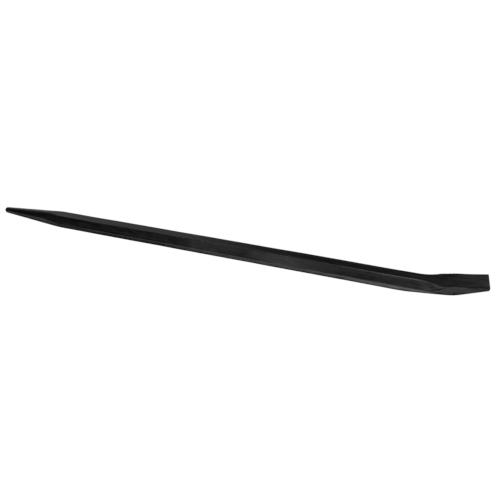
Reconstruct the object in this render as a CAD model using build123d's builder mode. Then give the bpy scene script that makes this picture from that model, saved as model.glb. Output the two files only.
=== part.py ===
from build123d import *

import os
from math import cos, radians, sin, sqrt, tan

# A hex-stock pry bar, forged from one piece of steel: a round tapered point at one end
# and a raised, flared chisel at the other. All sizes are in millimetres.
#
# Frame: +X runs along the bar to the chisel's edge, and the chisel rises towards +Z.
# The origin is under the middle of the bar's length, on the flat that the bar lies on.

# Bar stock
overall_length = 609.6
across_flats = 19.05
ridge_radius = 1.2  # rounding of the long edges, from end to end

# Round point
point_tip_diameter = 7.5
point_half_angle = 4.4
point_nose_radius = 2.4

# Chisel. Distances are measured back from its edge, along the bar.
top_bend_from_edge = 47.5
top_rise_angle = 11.2
top_bend_radius = 48.0
ramp_from_edge = 76.0  # where the underside leaves the flat that the bar lies on
ramp_angle = 13.5
ramp_bend_radius = 58.0
heel_from_edge = 28.5  # where the thin wedge behind the edge begins
heel_radius = 30.0
edge_thickness = 2.8
edge_radius = 0.8

# Flare. The two upper side flats curve outwards until the blade's upright sides cut them off.
flare_from_edge = 66.0
flare_radius = 50.0
side_start_spread = 0.3  # blade width beyond the hexagon's corners where the flare begins
side_end_spread = 0.8  # the same at the edge

# Worked out from the sizes above
across_corners = across_flats * 2 / sqrt(3)
axis_height = across_flats / 2
tip_x = -overall_length / 2
edge_x = overall_length / 2
flare_x = edge_x - flare_from_edge
top_bend_x = edge_x - top_bend_from_edge
ramp_x = edge_x - ramp_from_edge
heel_x = edge_x - heel_from_edge
heel_z = (ramp_from_edge - heel_from_edge) * tan(radians(ramp_angle))
edge_top_z = across_flats + top_bend_from_edge * tan(radians(top_rise_angle))
edge_bottom_z = edge_top_z - edge_thickness
cut_reach = 4 * across_flats  # well clear of the bar on every side
cone_overrun = point_tip_diameter  # how far the point's cone is drawn past the bar's ends
long_edge_radius = min(ridge_radius, 0.45 * edge_thickness)  # the thin edge has one on each face

# The side view, and the two planes that look squarely along the sloping flats
side_view = Plane(origin=(0, 0, 0), x_dir=(1, 0, 0), z_dir=(0, -1, 0))
flat_tilt = radians(30)
flat_views = [
    Plane(
        origin=(0, 0, axis_height),
        x_dir=(1, 0, 0),
        z_dir=(0, -sin(flat_tilt), side * cos(flat_tilt)),
    )
    for side in (1, -1)
]


def runs_lengthwise(edge):
    """True for an edge that goes along the bar rather than across it."""
    return abs((edge @ 1).X - (edge @ 0).X) > 0.6 * edge.length


with BuildPart() as forged_bar:
    # Side view: the level shank, then the raised chisel with its ramp, heel and thin edge.
    with BuildSketch(side_view) as side_profile:
        with BuildLine():
            Polyline(
                (tip_x, 0),
                (ramp_x, 0),
                (heel_x, heel_z),
                (edge_x, edge_bottom_z),
                (edge_x, edge_top_z),
                (top_bend_x, across_flats),
                (tip_x, across_flats),
                close=True,
            )
        make_face()
        bends = [
            (top_bend_x, across_flats, top_bend_radius),
            (ramp_x, 0, ramp_bend_radius),
            (heel_x, heel_z, heel_radius),
        ]
        for bend_x, bend_z, bend_radius in bends:
            bend_corner = side_profile.vertices().sort_by_distance((bend_x, bend_z, 0))[0]
            fillet(bend_corner, radius=bend_radius)
    extrude(amount=cut_reach, both=True)

    # The four sloping flats. The upper two curve outwards near the chisel, the lower two stay straight.
    for flat_view in flat_views:
        with BuildSketch(flat_view):
            with BuildLine():
                straight_flat = Line((tip_x, axis_height), (flare_x, axis_height))
                flared_flat = JernArc(straight_flat @ 1, (1, 0), flare_radius, 45)
                Polyline(
                    flared_flat @ 1,
                    (edge_x + cut_reach, (flared_flat @ 1).Y),
                    (edge_x + cut_reach, -axis_height),
                    (tip_x, -axis_height),
                    straight_flat @ 0,
                )
            make_face()
        extrude(amount=cut_reach, both=True, mode=Mode.INTERSECT)

    # Plan view: the blade's two upright sides, which open slightly towards the edge.
    with BuildSketch(Plane.XY):
        with BuildLine():
            Polyline(
                (tip_x, 0),
                (tip_x, cut_reach),
                (flare_x, cut_reach),
                (flare_x, (across_corners + side_start_spread) / 2),
                (edge_x, (across_corners + side_end_spread) / 2),
                (edge_x, 0),
                close=True,
            )
        make_face()
        mirror(about=Plane.XZ)
    extrude(amount=cut_reach, both=True, mode=Mode.INTERSECT)

    # The long ridges and the blade's rim are rounded before the point is drawn down.
    fillet(forged_bar.edges().filter_by(runs_lengthwise), radius=long_edge_radius)
    fillet(forged_bar.faces().sort_by(Axis.X)[-1].edges(), radius=edge_radius)

    # The round point: a cone that reaches past both ends, so it leaves a scallop on each flat
    # and a plain disc at the tip, which is then rounded over.
    point_slope = tan(radians(point_half_angle))
    cone_start_radius = point_tip_diameter / 2 - cone_overrun * point_slope
    cone_end_radius = point_tip_diameter / 2 + (overall_length + cone_overrun) * point_slope
    with BuildSketch(side_view):
        with BuildLine():
            Polyline(
                (tip_x - cone_overrun, axis_height),
                (tip_x - cone_overrun, axis_height + cone_start_radius),
                (edge_x + cone_overrun, axis_height + cone_end_radius),
                (edge_x + cone_overrun, axis_height),
                close=True,
            )
        make_face()
    bar_axis = Axis((0, 0, axis_height), (1, 0, 0))
    revolve(axis=bar_axis, mode=Mode.INTERSECT)
    fillet(forged_bar.faces().sort_by(Axis.X)[0].edges(), radius=point_nose_radius)

forged_bar.part.label = "forged_bar"
os.makedirs("parts", exist_ok=True)
export_step(forged_bar.part, "parts/forged_bar.step")
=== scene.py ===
import math

import bpy
import numpy as np
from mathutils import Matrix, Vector, noise


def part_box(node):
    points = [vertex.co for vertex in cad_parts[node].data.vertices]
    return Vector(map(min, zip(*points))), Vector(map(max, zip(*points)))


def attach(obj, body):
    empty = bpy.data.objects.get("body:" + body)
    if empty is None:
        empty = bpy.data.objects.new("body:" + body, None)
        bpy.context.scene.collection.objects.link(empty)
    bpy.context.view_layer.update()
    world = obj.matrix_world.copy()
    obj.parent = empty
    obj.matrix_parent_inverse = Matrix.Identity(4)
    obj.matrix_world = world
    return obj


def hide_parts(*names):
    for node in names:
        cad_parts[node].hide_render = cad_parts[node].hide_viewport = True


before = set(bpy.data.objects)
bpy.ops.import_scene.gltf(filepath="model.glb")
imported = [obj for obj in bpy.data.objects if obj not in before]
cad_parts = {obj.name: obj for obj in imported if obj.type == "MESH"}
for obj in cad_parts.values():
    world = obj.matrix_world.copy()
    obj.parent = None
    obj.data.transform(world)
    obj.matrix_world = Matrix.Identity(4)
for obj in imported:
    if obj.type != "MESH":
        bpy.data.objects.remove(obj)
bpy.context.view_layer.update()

# A one-piece forged pry bar lying on a pale floor. Metres, +X towards the chisel, +Z up.

low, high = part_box("forged_bar")
scene = bpy.context.scene
scene.view_settings.view_transform = "Standard"  # keeps the pale floor pale and the steel neutral

barShape = {
    "acrossFlats": 0.01905,
    "ridgeRound": 0.00045,  # how far the rounding eats into each flat beside a ridge
    "flareRound": 0.0013,  # the same where the upper ridges swing outwards
    "flareRoundBack": (0.15, 0.09),  # where that begins and where it is full
    "flareRoundHeight": 0.004,  # full this far above the middle, nothing below it
    "bladeRound": 0.0009,  # and on the blade
    "bladeRoundBack": (0.055, 0.040),
    "noseRound": 0.0024,
    "noseReach": 0.02,
    "tipRadius": 0.00375,
    "pointSlope": 0.0771,
    "topBendBack": 0.0445,  # every "Back" is a distance behind the chisel's edge
    "topBendReach": 0.004,
    "topRiseSlope": 0.2108,
    "crown": 0.0006,  # the blade's top face is a little fuller over the heel
    "crownBack": 0.030,
    "crownSpread": 0.009,
    "rampBack": 0.076,
    "rampReach": 0.007,
    "rampSlope": 0.2310,
    "heelBack": 0.0285,
    "heelReach": 0.0045,
    "edgeThickness": 0.0038,
    "flareBack": 0.066,
    "flareRadius": 0.051,  # along the top edge of each flared flat
    "foldRadius": 0.080,  # along the fold at its foot, which lags behind
    "sideStart": 0.01112,  # half width where the blade's upright sides begin
    "sideBack": (0.038, 0.0),  # they open out between these two places
    "foldDepth": 0.0004,
    "foldWidth": 0.0007,
    "foldBack": (0.061, 0.053),  # where the fold begins and where it is full
    "foldEndBack": (0.035, 0.043),  # where it has died away and where it is still full
    "foldSide": (0.006, 0.008),  # how far from the middle of the bar it starts to count
    "wave": 0.00006,  # slow waviness of each flat, as height
    "waves": ((0.113, 1.0), (0.061, 0.55), (0.037, 0.3), (0.019, 0.12)),  # lengths that never line up
    "hammer": 0.00007,  # dents at the two worked ends
    "shankHammer": 0.35,  # share of that on the plain shank
    "pointHammer": (0.12, 0.07),  # ahead of the tip: where the dents deepen and where they are full
    "bladeHammerBack": (0.1, 0.07),
    "dentsPerMetre": (55, 90, 90),
    "footHeight": (0.00364, 0.00104),  # up each lower face: no painted shade above the first, full below the second
    "footThinBack": (0.03, 0.01),  # the same painted shade is half as tall beyond here, on the thin edge
    "sharpestRidge": 700,  # radians of turn per metre that count as a fully sharp ridge
}

barMesh = {
    "aroundCount": 232,
    "rays": 1081,  # tried around each section to find its surface
    "rayStart": 1.6,  # how far out they start, as a share of the bar's half size
    "halvings": 26,
    "turnWindow": 9,  # neighbouring rays that a ridge's sharpness is averaged over
    "tipRings": 12,
    "edgeRings": 10,
    "tipGap": 0.0007,
    "pointReach": 0.11,  # fine rings from the tip to here
    "pointStep": 0.0009,
    "shankStep": 0.0036,
    "bladeReach": 0.085,  # fine rings from here to the edge
    "bladeStep": 0.0006,
    "capShares": (0.8, 0.55, 0.3),  # rings that close each end, as shares of its last ring
}

halfFlats = barShape["acrossFlats"] / 2  # also the height of the bar's middle above the floor
tipX = low.x
edgeX = high.x
flatAcross, flatDown = math.cos(math.radians(30)), math.sin(math.radians(30))  # the way a sloping flat looks


def fade(value, start, end):
    # nothing at the start, everything at the end, and straight in between
    return np.clip((value - start) / (end - start), 0, 1)


def fadeBack(x, back):
    # the same between two places measured back from the chisel's edge
    return fade(x, edgeX - back[0], edgeX - back[1])


def softBend(x, bendX, reach, slope):
    # level before the bend, straight at the slope after it, and a smooth curve between
    d = x - bendX
    curve = (d + reach) ** 2 / (4 * reach)
    return slope * np.where(d < -reach, 0, np.where(d > reach, d, curve))


def topLine(x):
    s = barShape
    rise = softBend(x, edgeX - s["topBendBack"], s["topBendReach"], s["topRiseSlope"])
    crown = s["crown"] * np.exp(-((x - (edgeX - s["crownBack"])) / s["crownSpread"]) ** 2)
    return halfFlats + rise + crown


def undersideLine(x):
    s = barShape
    heelZ = (s["rampBack"] - s["heelBack"]) * s["rampSlope"]
    edgeTopZ = 2 * halfFlats + s["topBendBack"] * s["topRiseSlope"]
    wedgeSlope = (edgeTopZ - s["edgeThickness"] - heelZ) / s["heelBack"]
    ramp = softBend(x, edgeX - s["rampBack"], s["rampReach"], s["rampSlope"])
    wedge = softBend(x, edgeX - s["heelBack"], s["heelReach"], wedgeSlope - s["rampSlope"])
    return -halfFlats + ramp + wedge


def bladeHalfWidth(x):
    along = fadeBack(x, barShape["sideBack"])
    return barShape["sideStart"] + (high.y - barShape["sideStart"]) * along


def ripple(x, phase):
    # slow unevenness along one flat
    total = sum(share * np.sin(2 * math.pi * x / length + phase * (3 + k))
                for k, (length, share) in enumerate(barShape["waves"]))
    return barShape["wave"] * total


def foldLine(x):
    # height of the fold where a flared flat dies into the blade's upright side
    s = barShape
    past = np.maximum(x - (edgeX - s["flareBack"]), 0)
    swung = past ** 2 / (2 * s["foldRadius"])
    return 2 * (halfFlats + swung - flatAcross * bladeHalfWidth(x))


def flareGrowth(x, z):
    # how far an upper flat has swung outwards: slower at its foot, so it turns upright as it goes
    s = barShape
    past = np.maximum(x - (edgeX - s["flareBack"]), 0)
    fold = foldLine(x)
    tall = np.maximum(topLine(x) - fold, 0.001)  # never nothing, as it divides
    share = np.clip((z - fold) / tall, 0, 1)
    curve = (1 - share) / s["foldRadius"] + share / s["flareRadius"]
    return past ** 2 * curve / 2


def foldShare(x, z):
    # one along the fold, fading to nothing above and below it and towards both of its ends
    s = barShape
    near = np.exp(-((z - foldLine(x)) / s["foldWidth"]) ** 2)
    return near * fadeBack(x, s["foldBack"]) * fadeBack(x, s["foldEndBack"])


def surfaceGap(x, y, z):
    # how far a point is outside the bar, with every ridge rounded
    s = barShape
    sides = [
        z - topLine(x) - ripple(x, 0.4),
        undersideLine(x) - z,
    ]
    fold = s["foldDepth"] * foldShare(x, z)
    for n, hand in enumerate((-1, 1)):
        upper = flatAcross * hand * y + flatDown * z - halfFlats
        lower = flatAcross * hand * y - flatDown * z - halfFlats
        sides.append(upper - flareGrowth(x, z) - ripple(x, 1.3 + n) + fold)
        sides.append(hand * y - bladeHalfWidth(x) + fold)
        sides.append(lower - ripple(x, 2.9 + n))
    sides.append(np.hypot(y, z) - s["tipRadius"] - s["pointSlope"] * (x - tipX))
    noseShare = fade(x, tipX + s["noseReach"], tipX)
    bladeShare = fadeBack(x, s["bladeRoundBack"])
    flareShare = fadeBack(x, s["flareRoundBack"]) * fade(z, 0, s["flareRoundHeight"])
    reach = s["ridgeRound"] + (s["flareRound"] - s["ridgeRound"]) * flareShare
    reach = reach + (s["bladeRound"] - reach) * bladeShare
    reach = reach + (s["noseRound"] - reach) * noseShare
    sides.append(tipX - x)
    sides.append(x - edgeX)
    total = sum(np.maximum(side + reach, 0) ** 2 for side in sides)
    return np.sqrt(total) - reach


def stationPlaces():
    # rings of points: close together at the worked ends and further apart on the plain shank
    m = barMesh
    quarter = math.pi / 2
    tipRound = tipX + barShape["noseRound"] * (1 - np.cos(np.linspace(0, quarter, m["tipRings"])))
    edgeRound = edgeX - barShape["bladeRound"] * (1 - np.cos(np.linspace(quarter, 0, m["edgeRings"])))
    point = np.arange(tipRound[-1] + m["tipGap"], tipX + m["pointReach"], m["pointStep"])
    shank = np.arange(point[-1] + m["shankStep"], edgeX - m["bladeReach"], m["shankStep"])
    blade = np.arange(shank[-1] + m["bladeStep"], edgeRound[0] - m["bladeStep"] / 2, m["bladeStep"])
    return np.concatenate([tipRound, point, shank, blade, edgeRound])


def traceRings(places):
    # finds the surface along rays from the middle of each section
    turns = np.radians(np.linspace(-90, 270, barMesh["rays"]))
    x = places[:, None]
    middle = (topLine(places) + undersideLine(places)) / 2
    tall = (topLine(places) - undersideLine(places)) / 2
    middle = np.where(places < 0, 0, middle)[:, None]
    tall = np.where(places < 0, halfFlats, tall)[:, None]
    rayY = np.cos(turns)[None] * high.y
    rayZ = np.sin(turns)[None] * tall
    inner = np.zeros((len(places), len(turns)))
    outer = np.full_like(inner, barMesh["rayStart"])
    for _ in range(barMesh["halvings"]):
        half = (inner + outer) / 2
        outside = surfaceGap(x, rayY * half, middle + rayZ * half) > 0
        outer = np.where(outside, half, outer)
        inner = np.where(outside, inner, half)
    return rayY * inner, middle + rayZ * inner


def spreadAround(ringY, ringZ, count):
    # spaces the points of each ring by length and by turning, so that ridges get more of them
    keptY, keptZ, turning = [], [], []
    window = barMesh["turnWindow"]
    for y, z in zip(ringY, ringZ):
        dy, dz = np.diff(y), np.diff(z)
        length = np.hypot(dy, dz) + 1e-12
        heading = np.unwrap(np.arctan2(dz, dy))
        turn = np.abs(np.diff(np.append(heading, heading[0] + 2 * math.pi)))
        turn = (turn + np.roll(turn, 1)) / 2
        share = (length / length.sum() + turn / turn.sum()) / 2
        travelled = np.concatenate([[0], np.cumsum(share)])
        wanted = np.linspace(0, travelled[-1], count, endpoint=False)
        keptY.append(np.interp(wanted, travelled, y))
        keptZ.append(np.interp(wanted, travelled, z))
        bend = np.convolve(np.tile(turn / length, 3), np.ones(window) / window, "same")
        bend = bend[len(turn):2 * len(turn)]
        turning.append(np.interp(wanted, travelled[:-1], bend))
    return np.array(keptY), np.array(keptZ), np.array(turning)


def hammerDents(places, y, z):
    # pushes the skin in and out a little, most at the two worked ends
    s = barShape
    begins, full = s["pointHammer"]
    worked = np.maximum(fade(places, tipX + begins, tipX + full), fadeBack(places, s["bladeHammerBack"]))
    alongCount, acrossCount, upCount = s["dentsPerMetre"]
    dents = np.zeros_like(y)
    for i, x in enumerate(places):
        depth = s["hammer"] * (s["shankHammer"] + (1 - s["shankHammer"]) * worked[i])
        for k in range(y.shape[1]):
            spot = Vector((x * alongCount, y[i, k] * acrossCount, z[i, k] * upCount))
            dents[i, k] = depth * noise.noise(spot)
    away = np.hypot(y, z) + 1e-9
    return y * (1 + dents / away), z * (1 + dents / away)


def endCapRings(x, y, z):
    # closes an end with smaller and smaller copies of its last ring
    rings = []
    middleY, middleZ = y.mean(), z.mean()
    for share in barMesh["capShares"]:
        rings.append(np.stack([np.full_like(y, x), middleY + (y - middleY) * share,
                               middleZ + (z - middleZ) * share], 1))
    return rings, np.array([x, middleY, middleZ])


def addMask(mesh, name, values):
    attribute = mesh.attributes.new(name, "FLOAT", "POINT")
    attribute.data.foreach_set("value", values)


def buildBar():
    s = barShape
    places = stationPlaces()
    ringY, ringZ = traceRings(places)
    count = barMesh["aroundCount"]
    y, z, turning = spreadAround(ringY, ringZ, count)
    y, z = hammerDents(places, y, z)
    rings = [np.stack([np.full(count, x), y[i], z[i]], 1) for i, x in enumerate(places)]
    tipRings, tipMiddle = endCapRings(places[0], y[0], z[0])
    edgeRings, edgeMiddle = endCapRings(places[-1], y[-1], z[-1])
    rings = tipRings[::-1] + rings + edgeRings
    points = np.concatenate(rings + [tipMiddle[None], edgeMiddle[None]])
    points[:, 2] += halfFlats
    # dents and waves stay inside the bar's real size
    points = np.clip(points, np.array(low), np.array(high))
    faces = []
    for r in range(len(rings) - 1):
        for k in range(count):
            a, b = r * count + k, r * count + (k + 1) % count
            faces.append((a, b, b + count, a + count))
    tipIndex, edgeIndex = len(points) - 2, len(points) - 1
    lastRing = (len(rings) - 1) * count
    for k in range(count):
        nextK = (k + 1) % count
        faces.append((tipIndex, nextK, k))
        faces.append((edgeIndex, lastRing + k, lastRing + nextK))
    mesh = bpy.data.meshes.new("pryBar")
    mesh.from_pydata(points.tolist(), [], faces)
    mesh.update()
    mesh.shade_smooth()
    capZeros = np.zeros((len(barMesh["capShares"]), count))
    ridge = np.append(np.concatenate([capZeros, turning, capZeros]).ravel(), [0, 0])
    addMask(mesh, "ridge", np.clip(ridge / s["sharpestRidge"], 0, 1))
    x, fromMiddle, z = points[:, 0], np.abs(points[:, 1]), points[:, 2] - halfFlats
    addMask(mesh, "fold", fade(fromMiddle, *s["foldSide"]) * foldShare(x, z))
    # the foot mask places the painted shade along the bottom of each lower face
    aboveFoot = (z - undersideLine(x)) * (1 + fadeBack(x, s["footThinBack"]))
    addMask(mesh, "foot", fade(aboveFoot, *s["footHeight"]))
    bar = bpy.data.objects.new("pryBar", mesh)
    scene.collection.objects.link(bar)
    return bar


print("bar: tracing the forged shape")
bar = buildBar()


steelLook = {
    "pointOxide": (0.029, 0.029, 0.0294),  # blackened skin at the point end
    "conePaintedShade": 0.35,  # painted shade: how much darker the hammered cone is than the shank
    "conePaintedShadeAhead": (0.03, 0.085),  # ahead of the tip: dark as far as the first, plain past the second
    "bladeOxide": (0.039, 0.039, 0.0396),  # painted light: the skin is lighter towards the chisel
    "rubbed": (0.17, 0.168, 0.165),  # steel showing where ridges are worn
    "edgeTint": (0.39, 0.39, 0.39),  # how much of the usual edge-on shine the scaled skin keeps
    "foldPaintedShade": 0.7,  # painted shade: how much darker the skin is in the fold beside the blade
    "edgeLightAndWear": 1.4,  # painted light with some wear from use: how much brighter the blade's top face gets towards the edge
    "edgeLightAndWearBack": (0.042, -0.004),
    "edgeLightAndWearHalfWidth": (0.008, 0.0108),  # full inside the first, nothing outside the second
    "sidePaintedShade": 0.22,  # painted shade: how much darker the blade's upright sides are
    "sidePaintedShadeBack": (0.06, 0.04),
    "bladeRimPaintedShade": 0.38,  # painted shade: how much darker the blade's top face is along its near edge
    "bladeRimShadeBack": (0.05, 0.035),
    "bladeRimShadeAcross": (-0.0085, -0.0105),
    "glancePaintedSheen": 0.05,  # painted sheen: how much lighter the upper faces are where they are seen at a glance
    "rimGlance": (0.3, 0.58),
    "outlinePaintedSheen": 0.8,  # painted sheen: how much more they shine at the very outline
    "brinkGlance": (0.6, 0.85),
    "underPaintedShade": 0.85,  # painted shade: how much darker the skin is along the foot of each lower face and under the bar
    "lowerFlatPaintedLight": (-0.45, 2.0),  # painted reflection and shade on the lower flats: how much brighter they are at the point and at the blade, a minus making them darker
    "lowerFlatLightEnds": (0.1, 0.02),  # ahead of the tip and behind the edge, where that change starts and stops
    "flatPaintedLight": (  # painted light and shade: lighter and darker stretches along the sloping flats: place along the bar, shade
        (-0.19, 0.82), (-0.04, 0.85), (-0.023, 0.88), (-0.014, 1.42), (0.015, 1.25), (0.05, 0.75),
        (0.075, 1.35), (0.09, 1.55), (0.12, 1.2), (0.155, 0.82), (0.19, 0.85), (0.22, 1.35),
    ),
    "shadeWander": 0.012,  # how far the ends of those stretches wander
    "wanderSize": 0.02,
    "drawnOut": (0.4, 1, 1),  # patches and pits are longer along the bar
    "patchSize": 0.0045,
    "patchShade": 0.35,  # how far patches and streaks change the colour
    "streakShade": 0.7,
    "pitShade": 0.35,
    "grainSize": 0.0011,
    "pitSize": 0.0022,
    "streakLength": 0.045,
    "streakWidth": 0.0012,
    "roughness": (0.24, 0.36),  # on smooth and on scaly skin
    "wearAmount": 0.16,
    "wearEndBack": (0.055, 0.04),  # the blade's ridges are not rubbed
    "wornSmooth": 0.1,  # how much less rough a fully rubbed ridge is
    "bump": 0.35,
    "scaleDepth": 0.00005,
    "streakDepth": 0.00012,
}

# how far each kind of face looks upwards: where its mask begins and where it is full
faceUp = {
    "bladeTop": (0.75, 0.95),
    "bladeRim": (0.35, 0.6),
    "slopingFrom": (0.2, 0.35),
    "slopingTo": (0.8, 0.65),
    "upperHalf": (-0.1, 0.2),
    "rubbed": (-0.4, 0.0),
    "lowerFlat": (-0.25, -0.45),
    "underside": (-0.52, -0.72),
}
uprightFace = (0.5, 0.3)  # the same for the blade's sides, looking up or down


def newGroup(name, inputs, outputs):
    # inputs and outputs are (name, kind, starting value)
    group = bpy.data.node_groups.new(name, "ShaderNodeTree")
    for socketName, kind, value in inputs:
        socket = group.interface.new_socket(socketName, in_out="INPUT", socket_type=kind)
        if value is not None:
            socket.default_value = value
    for socketName, kind in outputs:
        group.interface.new_socket(socketName, in_out="OUTPUT", socket_type=kind)
    start = group.nodes.new("NodeGroupInput")
    end = group.nodes.new("NodeGroupOutput")
    return group, start, end


def addNode(tree, kind, values=None, **settings):
    node = tree.nodes.new(kind)
    for key, value in settings.items():
        setattr(node, key, value)
    for key, value in (values or {}).items():
        if isinstance(value, bpy.types.NodeSocket):
            tree.links.new(value, node.inputs[key])
        else:
            node.inputs[key].default_value = value
    return node


def addMath(tree, operation, a, b=0.0, clamp=False):
    node = addNode(tree, "ShaderNodeMath", {0: a, 1: b}, operation=operation)
    node.use_clamp = clamp
    return node.outputs[0]


def addSum(tree, total, *others):
    for other in others:
        total = addMath(tree, "ADD", total, other)
    return total


def addProduct(tree, product, *others):
    for other in others:
        product = addMath(tree, "MULTIPLY", product, other)
    return product


def addScaled(tree, color, amount):
    return addNode(tree, "ShaderNodeVectorMath", {0: color, "Scale": amount}, operation="SCALE").outputs[0]


def addRange(tree, value, fromMin, fromMax, toMin=0.0, toMax=1.0):
    # smooth at both ends
    values = {"Value": value, "From Min": fromMin, "From Max": fromMax, "To Min": toMin, "To Max": toMax}
    return addNode(tree, "ShaderNodeMapRange", values, interpolation_type="SMOOTHSTEP").outputs["Result"]


def addMix(tree, share, a, b):
    return addNode(tree, "ShaderNodeMix", {0: share, 6: a, 7: b}, data_type="RGBA").outputs[2]


def addNoise(tree, vector, size, detail, roughness=0.55):
    scale = addMath(tree, "DIVIDE", 1.0, size)
    values = {"Vector": vector, "Scale": scale, "Detail": detail, "Roughness": roughness}
    return addNode(tree, "ShaderNodeTexNoise", values).outputs["Fac"]


def makeScaleGroup():
    # mill scale: cloudy patches, fine grain and small pits
    inputs = [
        ("Vector", "NodeSocketVector", None),
        ("Patch Size", "NodeSocketFloat", 0.01),
        ("Grain Size", "NodeSocketFloat", 0.001),
        ("Pit Size", "NodeSocketFloat", 0.002),
    ]
    outputs = [("Patches", "NodeSocketFloat"), ("Pits", "NodeSocketFloat"), ("Height", "NodeSocketFloat")]
    group, start, end = newGroup("millScale", inputs, outputs)
    vector = start.outputs["Vector"]
    patches = addRange(group, addNoise(group, vector, start.outputs["Patch Size"], 5.0), 0.34, 0.68)
    grain = addNoise(group, vector, start.outputs["Grain Size"], 3.0, 0.6)
    pitScale = addMath(group, "DIVIDE", 1.0, start.outputs["Pit Size"])
    cellValues = {"Vector": vector, "Scale": pitScale, "Randomness": 1.0}
    pitCells = addNode(group, "ShaderNodeTexVoronoi", cellValues)
    pitShape = addRange(group, pitCells.outputs["Distance"], 0.06, 0.3, 1.0, 0.0)
    pitPick = addRange(group, pitCells.outputs["Color"], 0.62, 0.72)
    pits = addMath(group, "MULTIPLY", pitShape, pitPick)
    # shares of the height: grain stands up, patches swell, pits go down
    raised = addSum(group, addProduct(group, grain, 0.55), addProduct(group, patches, 0.35))
    height = addMath(group, "SUBTRACT", raised, addProduct(group, pits, 0.8))
    group.links.new(patches, end.inputs["Patches"])
    group.links.new(pits, end.inputs["Pits"])
    group.links.new(height, end.inputs["Height"])
    return group


def makeStreakGroup():
    # lines left by rolling and drawing out, all running along the bar
    inputs = [
        ("Vector", "NodeSocketVector", None),
        ("Length", "NodeSocketFloat", 0.1),
        ("Width", "NodeSocketFloat", 0.001),
    ]
    outputs = [("Streaks", "NodeSocketFloat"), ("Height", "NodeSocketFloat")]
    group, start, end = newGroup("drawnStreaks", inputs, outputs)
    along = addMath(group, "DIVIDE", 1.0, start.outputs["Length"])
    across = addMath(group, "DIVIDE", 1.0, start.outputs["Width"])
    stretch = addNode(group, "ShaderNodeCombineXYZ", {"X": along, "Y": across, "Z": across}).outputs[0]
    values = {0: start.outputs["Vector"], 1: stretch}
    stretched = addNode(group, "ShaderNodeVectorMath", values, operation="MULTIPLY").outputs[0]
    broad = addNoise(group, stretched, 2.2, 2.0)
    fine = addNoise(group, stretched, 0.6, 3.0, 0.65)
    mixed = addSum(group, addProduct(group, broad, 0.6), addProduct(group, fine, 0.4))
    group.links.new(addRange(group, mixed, 0.36, 0.64), end.inputs["Streaks"])
    group.links.new(mixed, end.inputs["Height"])
    return group


def makeWearGroup():
    # ridges rubbed by handling, broken up so that no ridge is worn evenly
    inputs = [
        ("Vector", "NodeSocketVector", None),
        ("Ridge", "NodeSocketFloat", 0.0),
        ("Breakup Size", "NodeSocketFloat", 0.01),
    ]
    group, start, end = newGroup("ridgeWear", inputs, [("Wear", "NodeSocketFloat")])
    cloud = addNoise(group, start.outputs["Vector"], start.outputs["Breakup Size"], 6.0, 0.7)
    breakup = addRange(group, cloud, 0.38, 0.66)
    ridge = addRange(group, start.outputs["Ridge"], 0.25, 0.95)
    kept = addSum(group, addProduct(group, breakup, 0.8), 0.2)  # a fifth of the wear is everywhere
    group.links.new(addProduct(group, ridge, kept), end.inputs["Wear"])
    return group


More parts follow.
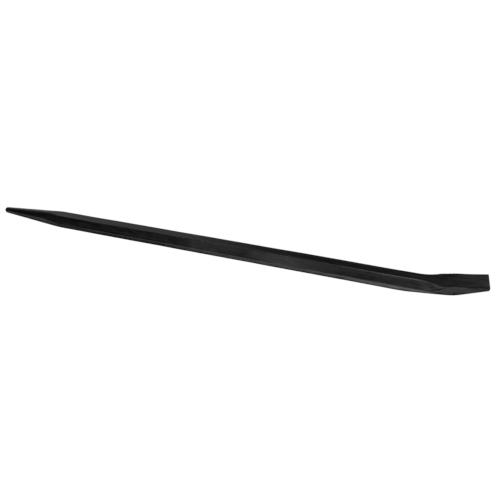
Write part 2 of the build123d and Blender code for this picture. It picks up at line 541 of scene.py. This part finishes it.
def makeSteel():
    look = steelLook
    material = bpy.data.materials.new("forgedSteel")
    material.use_nodes = True
    tree = material.node_tree
    shader = tree.nodes["Principled BSDF"]

    where = addNode(tree, "ShaderNodeTexCoord").outputs
    place = where["Object"]
    split = addNode(tree, "ShaderNodeSeparateXYZ", {0: place}).outputs
    along, across = split["X"], split["Y"]
    up = addNode(tree, "ShaderNodeSeparateXYZ", {0: where["Normal"]}).outputs["Z"]
    glance = addNode(tree, "ShaderNodeLayerWeight", {"Blend": 0.5}).outputs["Facing"]
    ridge, fold, foot = [addNode(tree, "ShaderNodeAttribute", attribute_name=name).outputs["Fac"]
                         for name in ("ridge", "fold", "foot")]

    def face(name):
        return addRange(tree, up, *faceUp[name])

    def backRange(name, toMin=0.0, toMax=1.0):
        start, end = look[name]
        return addRange(tree, along, edgeX - start, edgeX - end, toMin, toMax)

    drawnOut = addNode(tree, "ShaderNodeVectorMath", {0: place, 1: look["drawnOut"]}, operation="MULTIPLY")
    scale = addNode(tree, "ShaderNodeGroup", {
        "Vector": drawnOut.outputs[0],
        "Patch Size": look["patchSize"],
        "Grain Size": look["grainSize"],
        "Pit Size": look["pitSize"],
    }, node_tree=makeScaleGroup()).outputs
    streaks = addNode(tree, "ShaderNodeGroup", {
        "Vector": place,
        "Length": look["streakLength"],
        "Width": look["streakWidth"],
    }, node_tree=makeStreakGroup()).outputs
    wear = addNode(tree, "ShaderNodeGroup", {
        "Vector": place,
        "Ridge": ridge,
    }, node_tree=makeWearGroup()).outputs

    # the skin itself, patchy, streaked and pitted, with painted shade in the fold
    # the skin grows lighter from point to blade: painted light
    lengthwise = addRange(tree, along, tipX, edgeX)
    skin = addMix(tree, lengthwise, (*look["pointOxide"], 1), (*look["bladeOxide"], 1))
    patchy = addProduct(tree, scale["Patches"], look["patchShade"])
    streaky = addProduct(tree, streaks["Streaks"], look["streakShade"])
    mottle = addSum(tree, patchy, streaky, 1 - (look["patchShade"] + look["streakShade"]) / 2)
    mottle = addMath(tree, "SUBTRACT", mottle, addProduct(tree, scale["Pits"], look["pitShade"]))
    skin = addScaled(tree, skin, mottle)
    skin = addScaled(tree, skin, addRange(tree, fold, 0.0, 1.0, 1.0, 1 - look["foldPaintedShade"]))

    # painted light, with wear from use adding to it: brighter on the blade's top face towards the edge
    fromMiddle = addMath(tree, "ABSOLUTE", across)
    inside = addRange(tree, fromMiddle, *look["edgeLightAndWearHalfWidth"], 1.0, 0.0)
    edgeLightAndWearShare = addProduct(tree, backRange("edgeLightAndWearBack", 0.0, look["edgeLightAndWear"]), face("bladeTop"), inside)
    # painted reflection and shade along the lower flats: darker at the point, brighter towards the blade
    lowerLightFrom, lowerLightTo = tipX + look["lowerFlatLightEnds"][0], edgeX - look["lowerFlatLightEnds"][1]
    lowerLight = addRange(tree, along, lowerLightFrom, lowerLightTo, *look["lowerFlatPaintedLight"])
    lowerFlatLight = addProduct(tree, lowerLight, face("lowerFlat"))

    # painted shade: darker on the cone, on the blade's upright sides and along the near rim of its top face
    coneFrom, coneTo = [tipX + ahead for ahead in look["conePaintedShadeAhead"]]
    cone = addRange(tree, along, coneFrom, coneTo, look["conePaintedShade"], 0.0)
    upright = addRange(tree, addMath(tree, "ABSOLUTE", up), *uprightFace)
    bladeSide = addProduct(tree, backRange("sidePaintedShadeBack", 0.0, look["sidePaintedShade"]), upright)
    bladeRim = addProduct(tree, backRange("bladeRimShadeBack", 0.0, look["bladeRimPaintedShade"]), face("bladeRim"),
                          addRange(tree, across, *look["bladeRimShadeAcross"]))
    darker = addSum(tree, cone, bladeSide, bladeRim)
    skin = addScaled(tree, skin, addMath(tree, "SUBTRACT", addSum(tree, edgeLightAndWearShare, lowerFlatLight, 1.0), darker))

    # painted light and shade: lighter and darker stretches along the sloping flats
    wander = addMath(tree, "SUBTRACT", addNoise(tree, place, look["wanderSize"], 3.0), 0.5)
    wander = addProduct(tree, wander, 2 * look["shadeWander"])
    fromTip = addMath(tree, "SUBTRACT", addSum(tree, along, wander), tipX)
    ramp = addNode(tree, "ShaderNodeValToRGB", {0: addMath(tree, "DIVIDE", fromTip, edgeX - tipX)})
    stops = ramp.color_ramp.elements
    for n, (spot, shade) in enumerate(look["flatPaintedLight"]):
        stop = stops[n] if n < 2 else stops.new(1.0)  # the ramp starts with two stops
        stop.position = (spot - tipX) / (edgeX - tipX)
        stop.color = (shade / 2, shade / 2, shade / 2, 1)  # halved, as a stop cannot be above one
    sloping = addProduct(tree, face("slopingFrom"), face("slopingTo"))
    stretches = addProduct(tree, addMath(tree, "SUBTRACT", ramp.outputs["Color"], 0.5), 2.0)
    skin = addScaled(tree, skin, addSum(tree, addProduct(tree, stretches, sloping), 1.0))

    # painted sheen towards the outline, then painted shade along the foot and under the bar
    rim = addProduct(tree, addRange(tree, glance, *look["rimGlance"]), face("upperHalf"), look["glancePaintedSheen"])
    skin = addNode(tree, "ShaderNodeVectorMath", {0: skin, 1: rim}, operation="ADD").outputs[0]
    shaded = addMath(tree, "MAXIMUM", addRange(tree, foot, 0.0, 1.0), face("underside"))
    underShade = addRange(tree, shaded, 0.0, 1.0, 1.0, 1 - look["underPaintedShade"])
    skin = addScaled(tree, skin, underShade)
    # the edge shine is cut by the painted shade under the bar and raised by the painted sheen at the outline
    brink = addRange(tree, glance, *look["brinkGlance"])
    brink = addProduct(tree, brink, face("upperHalf"), look["outlinePaintedSheen"])
    tint = addScaled(tree, look["edgeTint"], addProduct(tree, underShade, addSum(tree, brink, 1.0)))
    tree.links.new(tint, shader.inputs["Specular Tint"])

    # steel shows where the ridges are rubbed
    beforeBlade = backRange("wearEndBack", 1.0, 0.0)
    worn = addProduct(tree, wear["Wear"], look["wearAmount"], beforeBlade, face("rubbed"))
    tree.links.new(addMix(tree, worn, skin, (*look["rubbed"], 1)), shader.inputs["Base Color"])
    scaly = addSum(tree, addProduct(tree, scale["Patches"], 0.6), addProduct(tree, streaks["Streaks"], 0.4))
    rough = addRange(tree, scaly, 0.0, 1.0, *look["roughness"])
    rough = addMath(tree, "SUBTRACT", rough, addProduct(tree, worn, look["wornSmooth"]))
    tree.links.new(rough, shader.inputs["Roughness"])

    fine = addNode(tree, "ShaderNodeBump", {
        "Height": scale["Height"], "Strength": look["bump"], "Distance": look["scaleDepth"]})
    lines = addNode(tree, "ShaderNodeBump", {
        "Height": streaks["Height"], "Strength": look["bump"], "Distance": look["streakDepth"],
        "Normal": fine.outputs["Normal"]})
    tree.links.new(lines.outputs["Normal"], shader.inputs["Normal"])
    shader.inputs["Metallic"].default_value = 1
    return material


print("bar: steel")
bar.data.materials.append(makeSteel())
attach(bar, "root")
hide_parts("forged_bar")

floorLook = {
    "size": 8.0,
    "color": (0.9, 0.9, 0.9, 1),
    "roughness": 0.9,
    "specular": 0.1,
    "lit": 0.735,  # light that comes up through the floor, as on a light table
    "seen": (1.0, 1.0, 1.0, 1),  # what the camera itself sees: an even white, with no shadow
}


def makeFloor():
    half = floorLook["size"] / 2
    corners = [(-half, -half, 0), (half, -half, 0), (half, half, 0), (-half, half, 0)]
    mesh = bpy.data.meshes.new("floor")
    mesh.from_pydata(corners, [], [(0, 1, 2, 3)])
    floor = bpy.data.objects.new("floor", mesh)
    scene.collection.objects.link(floor)
    material = bpy.data.materials.new("paleFloor")
    material.use_nodes = True
    tree = material.node_tree
    shader = tree.nodes["Principled BSDF"]
    shader.inputs["Base Color"].default_value = floorLook["color"]
    shader.inputs["Roughness"].default_value = floorLook["roughness"]
    shader.inputs["Specular IOR Level"].default_value = floorLook["specular"]
    shader.inputs["Emission Color"].default_value = (1, 1, 1, 1)
    shader.inputs["Emission Strength"].default_value = floorLook["lit"]
    # the camera sees the even white, and everything else sees the lit floor
    even = addNode(tree, "ShaderNodeEmission", {"Color": floorLook["seen"]}).outputs["Emission"]
    direct = addNode(tree, "ShaderNodeLightPath").outputs["Is Camera Ray"]
    mixed = addNode(tree, "ShaderNodeMixShader", {0: direct, 1: shader.outputs["BSDF"], 2: even})
    tree.links.new(mixed.outputs[0], tree.nodes["Material Output"].inputs["Surface"])
    mesh.materials.append(material)


print("stage: floor, light and camera")
makeFloor()

studio = {
    "worldColor": (1.0, 1.0, 1.0),
    "worldStrength": 0.226,
    "panels": {
        "aboveMiddle": {"at": (-0.12, -0.32, 0.85), "size": (0.4, 0.45), "glow": 1.6, "aim": (0.2, 0, 0)},
        "aboveRight": {"at": (0.37, -0.38, 0.84), "size": (0.42, 0.42), "glow": 3.2, "aim": (0.25, 0, 0)},
        "backLeft": {"at": (-1.291, 1.204, 0.939), "size": (1.0, 0.7), "glow": 0.615, "aim": (0, 0, 0)},
        "backMid": {"at": (-0.735, 1.442, 1.176), "size": (0.42, 0.7), "glow": 0.515, "aim": (0, 0, 0)},
        "backRight": {"at": (0.524, 1.44, 1.286), "size": (0.9, 0.6), "glow": 0.062, "aim": (0, 0, 0)},
        "floorRight": {"at": (0.42, -0.42, 0.3), "size": (0.3, 0.3), "glow": 1.569, "aim": (0.27, -0.01, 0),
                       "mirrored": False},  # lights the flare without showing in it
        "front": {"at": (0.0, -1.691, 0.616), "size": (0.8, 0.5), "glow": 0.518, "aim": (0, 0, 0)},
        "frontLeft": {"at": (-0.582, -1.599, 0.586), "size": (0.5, 0.5), "glow": 0.528, "aim": (0, 0, 0)},
        "left": {"at": (-1.764, 0.573, 0.749), "size": (0.7, 0.7), "glow": 0.466, "aim": (0, 0, 0)},
        "leftLow": {"at": (-1.659, 1.037, 0.416), "size": (0.7, 0.4), "glow": 3.0, "aim": (0, 0, 0)},
    },
}


def makeStudio():
    world = bpy.data.worlds.new("studio")
    scene.world = world
    world.use_nodes = True
    background = world.node_tree.nodes["Background"]
    background.inputs["Color"].default_value = (*studio["worldColor"], 1)
    background.inputs["Strength"].default_value = studio["worldStrength"]
    for name, panel in studio["panels"].items():
        lamp = bpy.data.lights.new(name, "AREA")
        lamp.shape = "RECTANGLE"
        lamp.size, lamp.size_y = panel["size"]
        lamp.energy = panel["glow"] * math.pi * lamp.size * lamp.size_y
        holder = bpy.data.objects.new(name, lamp)
        holder.location = panel["at"]
        holder.visible_glossy = panel.get("mirrored", True)
        aim = Vector(panel["aim"]) - Vector(panel["at"])
        holder.rotation_euler = aim.to_track_quat("-Z", "Y").to_euler()
        scene.collection.objects.link(holder)


makeStudio()

cameraSet = {
    "at": (0.2021, -0.3908, 0.3280),
    "turn": (53.07, 2.203, 19.082),  # degrees about X, Y and Z
    "lens": 32.4,
    "sensor": 36.0,
}


def makeCamera():
    data = bpy.data.cameras.new("camera")
    data.lens = cameraSet["lens"]
    data.sensor_width = cameraSet["sensor"]
    data.clip_start = 0.01
    camera = bpy.data.objects.new("camera", data)
    camera.location = cameraSet["at"]
    camera.rotation_euler = [math.radians(angle) for angle in cameraSet["turn"]]
    scene.collection.objects.link(camera)
    scene.camera = camera


makeCamera()
